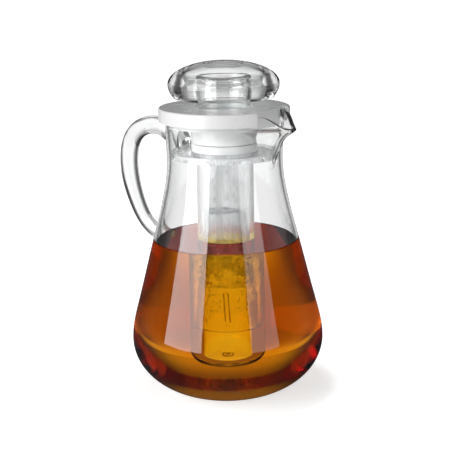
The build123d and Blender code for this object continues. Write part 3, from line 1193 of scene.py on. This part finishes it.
def floor_paper():
    """Paper, white round the object's shadow, which is partly real and partly painted shade, with a painted
    light of its own where clear pieces show it.
    """
    material, tree, output = empty_material("floor_paper")
    paper = tree.nodes.new("ShaderNodeBsdfDiffuse")
    lift = tree.nodes.new("ShaderNodeEmission")
    add = tree.nodes.new("ShaderNodeAddShader")
    rays = tree.nodes.new("ShaderNodeLightPath")
    place = tree.nodes.new("ShaderNodeTexCoord").outputs["Object"]
    length = tree.nodes.new("ShaderNodeVectorMath")
    length.operation = "LENGTH"
    tree.links.new(place, length.inputs[0])
    apart = length.outputs["Value"]
    clear = clear_ray(tree, rays)
    tree.links.new(paper_colour(tree, rays, clear), paper.inputs["Color"])
    lit, tint = paper_seen_clear(tree, rays, clear, place, apart)
    # Painted shade: the paper's own light is turned down round the foot, so the real shadow shows there
    shadow = step_up(tree, apart, SHADOW_INNER, SHADOW_OUTER, SHADOW_LIFT, 1)
    seen = product(tree, rays.outputs["Is Camera Ray"], shadow)
    tree.links.new(tint, lift.inputs["Color"])
    tree.links.new(math_node(tree, "ADD", seen, product(tree, clear, lit)), lift.inputs["Strength"])
    tree.links.new(paper.outputs["BSDF"], add.inputs[0])
    tree.links.new(lift.outputs["Emission"], add.inputs[1])
    tree.links.new(add.outputs["Shader"], output.inputs["Surface"])
    return material


def add_floor():
    mesh = bpy.data.meshes.new("floor")
    corners = [(x * FLOOR_HALF, y * FLOOR_HALF, 0) for x, y in ((-1, -1), (1, -1), (1, 1), (-1, 1))]
    mesh.from_pydata(corners, [], [(0, 1, 2, 3)])
    mesh.materials.append(floor_paper())
    floor = bpy.data.objects.new("floor", mesh)
    floor.location.z = -FLOOR_DROP
    bpy.context.scene.collection.objects.link(floor)


def add_world():
    """A studio that is white to the camera, and dimmer with darker corners where clear pieces show it."""
    world = bpy.data.worlds.new("studio")
    bpy.context.scene.world = world
    world.use_nodes = True
    tree = world.node_tree
    tree.nodes.clear()
    output = tree.nodes.new("ShaderNodeOutputWorld")
    background = tree.nodes.new("ShaderNodeBackground")
    rays = tree.nodes.new("ShaderNodeLightPath")
    way = tree.nodes.new("ShaderNodeTexCoord").outputs["Generated"]
    split = tree.nodes.new("ShaderNodeSeparateXYZ")
    tree.links.new(way, split.inputs[0])
    up = split.outputs["Z"]
    strength = product(
        tree, clear_ray(tree, rays), side_flags(tree, way, *WORLD_FLAGS), step_up(tree, up, *CLEAR_SKY)
    )
    for part in (
        product(tree, mirrored_ray(tree, rays), step_up(tree, up, *MIRRORED_SKY)),
        rays.outputs["Is Camera Ray"],
        product(tree, scattered_ray(tree, rays), MATT_FILL),
    ):
        strength = math_node(tree, "ADD", strength, part)
    background.inputs["Color"].default_value = (1, 1, 1, 1)
    tree.links.new(strength, background.inputs["Strength"])
    tree.links.new(background.outputs["Background"], output.inputs["Surface"])


def allow_many_bounces():
    """The straight way through the walls, the drink and the tube crosses over a dozen surfaces."""
    cycles = bpy.context.scene.cycles
    cycles.max_bounces = MOST_BOUNCES
    cycles.transmission_bounces = MOST_BOUNCES
    cycles.glossy_bounces = MOST_MIRRORINGS
    cycles.transparent_max_bounces = MOST_BOUNCES


bpy.context.scene.view_settings.view_transform = "Standard"
allow_many_bounces()
add_camera()
add_window("left_window", LEFT_WINDOW_TURN, LEFT_WINDOW_WIDTH, LEFT_WINDOW_RADIANCE)
add_window("right_window", RIGHT_WINDOW_TURN, RIGHT_WINDOW_WIDTH, RIGHT_WINDOW_RADIANCE)
add_top_panel()
add_floor()
add_world()

clear = clear_plastic("clear_plastic")
white = white_plastic()
rubber = silicone()

pitcher_shell(clear, clear_plastic("clear_plastic_wet", WET_MIRROR))
handle_loop(clear)
ice_tube(tube_plastic("tube_plastic"), tube_plastic("tube_plastic_wet", WET_MIRROR))
tea(tea_liquid("tea", TEA_SURFACE_IOR, TEA_SURFACE_MIRROR), tea_liquid("tea_side", TEA_IOR, WET_MIRROR))
ice_core(clear_ice(), cracked_ice(), cloudy_ice())
lock_ring(white)
knob_cap(clear)
knob_plug(clear)

for node, material in (
    ("lid_cover", white),
    ("strainer_disc", strainer_plastic()),
    ("tube_seal", rubber),
    ("knob_seal", rubber),
):
    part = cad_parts[node]
    part.data.materials.clear()
    part.data.materials.append(material)
